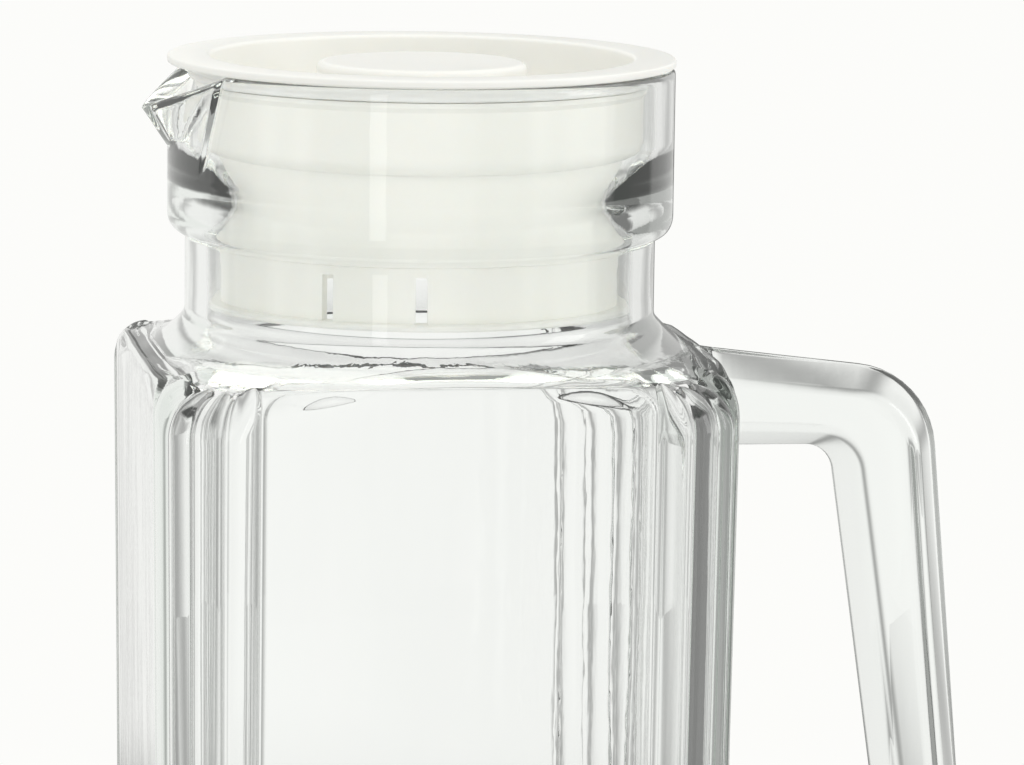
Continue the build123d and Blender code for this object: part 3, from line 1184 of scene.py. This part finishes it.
@dataclass(frozen=True)
class Lamp:
    """Soft rectangular lamp that faces the jug's middle."""

    name: str
    place: tuple[float, float, float]
    size: tuple[float, float]
    power: float
    mirrored: bool = True
    aim: float = 120.0

    def hang(self) -> None:
        """Adds the lamp, seen by the camera neither straight nor through the glass."""
        data = bpy.data.lights.new(self.name, "AREA")
        data.shape = "RECTANGLE"
        data.size, data.size_y = (s * MM for s in self.size)
        data.energy = self.power
        obj = bpy.data.objects.new(self.name, data)
        bpy.context.scene.collection.objects.link(obj)
        obj.location = Vector(self.place) * MM
        obj.rotation_mode = "QUATERNION"
        obj.rotation_quaternion = (Vector((0.0, 0.0, self.aim * MM)) - obj.location).to_track_quat("-Z", "Y")
        obj.visible_camera = False
        obj.visible_transmission = False
        obj.visible_glossy = self.mirrored


@dataclass
class Studio:
    """White background, pale floor, soft lamps and the camera.

    Rays that are turned back in the glass meet painted dark reflections: strips of (direction, half
    width, darkness) that the camera never sees, and a painted shadow ring on the floor round the jug.
    Many turns meet painted darkness on every side but the open one. Rays that are only bent meet
    soft dark bands, painted in the same way.
    """

    distance: float = 950.0
    side: float = 8.552
    height: float = 93.815
    yaw: float = 0.951
    pitch: float = 8.912
    roll: float = 0.783
    focal: float = 5709.0
    picture_width: float = 1024.0
    sensor: float = 36.0
    floor_rings: tuple[float, ...] = (620.0, 372.0, 186.0)
    floor_colour: tuple[float, float, float, float] = (0.86, 0.86, 0.85, 1.0)
    shadow: tuple[float, float] = (91.0, 260.0)
    ambient: float = 0.78
    dark: float = 0.96
    haze: float = 0.08
    inner: float = 1.75
    # painted dark reflections in the glass: (direction, half width, darkness) of strips that only rays turned back in
    # it meet
    painted_dark_strips: tuple[tuple[float, float, float], ...] = (
        (14.0, 18.0, 0.8),
        (76.0, 8.0, 0.7),
        (-135.0, 18.0, 0.5),
        (-60.0, 16.0, 0.5),
        (168.0, 16.0, 0.6),
    )
    open_side: tuple[float, float] = (110.0, 50.0)
    deep: float = 0.6
    many_turns: float = 2.5
    # painted shadow ring on the floor round the jug: its inner and outer radius and its darkness, met only by rays
    # turned back in the glass
    ring: tuple[float, float] = (290.0, 480.0)
    painted_shadow_dark: float = 0.95
    soft: float = 0.6
    bands: float = 8.0
    band_turn: float = 8.5
    band_power: float = 4.0
    path_facts: tuple[str, str, str] = ("Glossy Depth", "Diffuse Depth", "Is Transmission Ray")
    lamps: tuple[Lamp, ...] = (
        Lamp("tall_lamp", (-620.0, -1230.0, 420.0), (200.0, 1000.0), 0.9),
        Lamp("top_lamp", (0.0, -100.0, 1500.0), (900.0, 900.0), 5.6, mirrored=False),
        Lamp("right_lamp", (1300.0, -500.0, 600.0), (500.0, 900.0), 3.0),
    )

    def camera(self) -> None:
        """Camera at the photograph's place, angle and field of view."""
        data = bpy.data.cameras.new("studio_camera")
        data.sensor_width = self.sensor
        data.lens = self.focal / self.picture_width * self.sensor
        data.clip_start, data.clip_end = 0.02, 50.0
        obj = bpy.data.objects.new("studio_camera", data)
        bpy.context.scene.collection.objects.link(obj)
        a, p, r = (math.radians(v) for v in (self.side + self.yaw, self.pitch, self.roll))
        ahead = Vector((math.sin(a) * math.cos(p), math.cos(a) * math.cos(p), -math.sin(p)))
        right = Vector((math.cos(a), -math.sin(a), 0.0))
        up = right.cross(ahead)
        turned, above = right * math.cos(r) + up * math.sin(r), up * math.cos(r) - right * math.sin(r)
        s = math.radians(self.side)
        spot = Vector((-math.sin(s) * self.distance, -math.cos(s) * self.distance, LID_TOP + self.height)) * MM
        rows = Matrix((turned, above, -ahead)).transposed().to_4x4()
        obj.matrix_world = Matrix.Translation(spot) @ rows
        bpy.context.scene.camera = obj

    def brightness_group(self) -> NodeTree:
        """Node group for the surroundings: white straight on, with dark gaps for rays turned back in the glass.

        Returns:
            Group with the ray's Direction, a Gap that is dark already and three facts of the ray's path
            as inputs, and output Level.
        """
        usual = {"Direction": (0.0, 0.0, 1.0), "Gap": 0.0} | dict.fromkeys(self.path_facts, 0.0)
        group, n, given = new_group("studio_brightness", usual, ("Level",))
        glossy, diffuse, through = (given.outputs[key] for key in self.path_facts)
        parts = n.add("ShaderNodeSeparateXYZ", {0: given.outputs["Direction"]})
        turn = n.math("ARCTAN2", parts.outputs[1], parts.outputs[0])
        # painted darkness on every side but the open one, for rays turned back in the glass many times
        middle, width = self.open_side
        off = n.math("COSINE", n.math("SUBTRACT", turn, math.radians(middle)))
        closed = n.ramp(off, math.cos(math.radians(width)), math.cos(math.radians(width * 0.6)), self.deep, 0.0)
        many = n.math("GREATER_THAN", glossy, self.many_turns)
        gap = n.math("MAXIMUM", given.outputs["Gap"], n.math("MULTIPLY", many, closed))
        # painted dark reflections: each strip darkens the surroundings only for rays turned back in the glass
        for middle, width, strength in self.painted_dark_strips:
            off = n.math("COSINE", n.math("SUBTRACT", turn, math.radians(middle)))
            edge = math.cos(math.radians(width))
            gap = n.math("MAXIMUM", gap, n.ramp(off, edge, 0.5 + 0.5 * edge, 0.0, strength))
        straight = n.math("SUBTRACT", 1.0, diffuse, clamp=True)
        turned_back = n.math("MULTIPLY", n.math("MINIMUM", glossy, 1.0), straight)
        shade = n.math("MULTIPLY", turned_back, n.math("MULTIPLY_ADD", gap, 1.0 - self.haze, self.haze))
        wave = n.math("COSINE", n.math("MULTIPLY", n.math("ADD", turn, math.radians(self.band_turn)), self.bands))
        bent = n.math("MULTIPLY", through, straight)
        aside = n.math("POWER", n.math("MULTIPLY_ADD", wave, -0.5, 0.5), self.band_power)
        soft = n.math("MULTIPLY", bent, n.math("MULTIPLY", aside, self.soft))
        shade = n.math("MAXIMUM", shade, soft)
        level = n.math("SUBTRACT", 1.0, n.math("MULTIPLY", shade, self.dark))
        lit = n.math("MULTIPLY", through, n.math("SUBTRACT", 1.0, straight))
        level = n.math("MULTIPLY", level, n.math("MULTIPLY_ADD", lit, self.inner - 1.0, 1.0))
        n.add("NodeGroupOutput", {"Level": level})
        return group

    def bright(
        self,
        n: Nodes,
        group: NodeTree,
        direction: NodeSocket,
        path: Node,
        gap: float | NodeSocket = 0.0,
    ) -> NodeSocket:
        """Adds the brightness group to a tree.

        Args:
            n: Node helper of the tree.
            group: The brightness group.
            direction: Direction or place that the ray meets.
            path: The tree's Light Path node.
            gap: Darkness that is there already, from 0 to 1.

        Returns:
            The brightness.
        """
        facts = {key: path.outputs[key] for key in self.path_facts}
        return n.add("ShaderNodeGroup", {"Direction": direction, "Gap": gap} | facts, node_tree=group).outputs[0]

    def world(self, group: NodeTree) -> None:
        """Surroundings: white for the eye and through the glass, a plain level for the light on the pieces.

        Args:
            group: The brightness group.
        """
        world = bpy.data.worlds.new("studio_white")
        world.use_nodes = True
        world.node_tree.nodes.clear()
        n = Nodes(world.node_tree)
        path, place = n.add("ShaderNodeLightPath"), n.add("ShaderNodeTexCoord")
        seen = n.math("MAXIMUM", path.outputs["Is Glossy Ray"], path.outputs["Is Transmission Ray"])
        seen = n.math("MAXIMUM", seen, path.outputs["Is Camera Ray"])
        level = n.blend(seen, self.ambient, self.bright(n, group, place.outputs["Generated"], path))
        sky = n.add("ShaderNodeBackground", {"Color": n.scale(WHITE, level)})
        n.add("ShaderNodeOutputWorld", {0: sky.outputs[0]})
        bpy.context.scene.world = world

    def floor(self, group: NodeTree) -> None:
        """Pale round floor that keeps the jug's shadow and fades into the white round it; round the jug it shows a
        painted shadow ring to rays turned back in the glass.

        Args:
            group: The brightness group.
        """
        count = 96
        turn = np.linspace(0.0, 2.0 * math.pi, count, endpoint=False)
        z, rings = BASE_Z - 0.05, len(self.floor_rings)
        points = [circle(turn, r, z) for r in self.floor_rings]
        points.append(np.array([(0.0, 0.0, z)]))
        faces = ring_faces(rings, count)
        inner = (rings - 1) * count
        faces += [[rings * count, inner + k, inner + (k + 1) % count] for k in range(count)]
        obj = mesh_object("studio_floor", np.vstack(points), faces)
        material = bpy.data.materials.new("pale_floor")
        material.use_nodes = True
        material.node_tree.nodes.clear()
        n = Nodes(material.node_tree)
        path, place = n.add("ShaderNodeLightPath"), n.add("ShaderNodeTexCoord")
        away = n.add("ShaderNodeVectorMath", {0: place.outputs["Object"]}, operation="LENGTH").outputs["Value"]
        fade = n.ramp(away, self.shadow[0] * MM, self.shadow[1] * MM, 0.0, 1.0)
        through = n.math("MAXIMUM", path.outputs["Is Glossy Ray"], path.outputs["Is Transmission Ray"])
        # painted shadow: a dark ring round the jug, which only rays turned back in the glass meet
        near = n.ramp(away, self.ring[0] * MM, self.ring[1] * MM, self.painted_shadow_dark, 0.0)
        level = self.bright(n, group, place.outputs["Object"], path, near)
        matt = n.add("ShaderNodeBsdfDiffuse", {"Color": self.floor_colour})
        glow = n.add("ShaderNodeEmission", {"Color": n.scale(WHITE, level)})
        share = n.math("MAXIMUM", fade, through)
        mix = n.add("ShaderNodeMixShader", {0: share, 1: matt.outputs[0], 2: glow.outputs[0]})
        n.add("ShaderNodeOutputMaterial", {"Surface": mix.outputs[0]})
        obj.data.materials.append(material)

    def build(self) -> None:
        """Sets up the whole studio."""
        bpy.context.scene.view_settings.view_transform = "Standard"
        self.camera()
        group = self.brightness_group()
        self.world(group)
        for lamp in self.lamps:
            lamp.hang()
        self.floor(group)


GLASS = GlassFinish(
    name="pressed_glass",
    colour=(1.0, 1.0, 1.0),
    second=(0.985, 0.995, 0.99),
    roughness=0.0,
    ior=1.5,
    wave_scale=70.0,
    grain_scale=300.0,
    stretch=0.18,
    grain_share=0.12,
    relief=0.12,
)
LID_PLASTIC = PlasticFinish(
    name="lid_plastic",
    colour=(0.94, 0.937, 0.895),
    second=(0.92, 0.917, 0.875),
    roughness=0.38,
    ior=1.5,
    wave_scale=90.0,
    grain_scale=2600.0,
    stretch=1.0,
    grain_share=0.5,
    relief=0.03,
)
SEAL_RUBBER = PlasticFinish(
    name="seal_rubber",
    colour=(0.92, 0.915, 0.89),
    second=(0.89, 0.885, 0.86),
    roughness=0.55,
    ior=1.43,
    wave_scale=120.0,
    grain_scale=3200.0,
    stretch=1.0,
    grain_share=0.6,
    relief=0.02,
    depth=2.0,
    share=0.4,
)


def main() -> None:
    """Builds the jug piece by piece, then the studio round it."""
    logging.basicConfig(level=logging.INFO, format="%(message)s")
    group = unevenness_group()
    vessel = GlassVessel()
    glass = vessel.build()
    vessel.dress(glass, GLASS.make(group))
    LOG.info("%s: %d faces", glass.name, len(glass.data.polygons))
    lid = Lid()
    pieces = lid.build()
    lid.dress(pieces, LID_PLASTIC.make(group), SEAL_RUBBER.make(group))
    for piece in pieces.values():
        LOG.info("%s: %d faces", piece.name, len(piece.data.polygons))
    Studio().build()


if __name__ == "__main__":
    main()
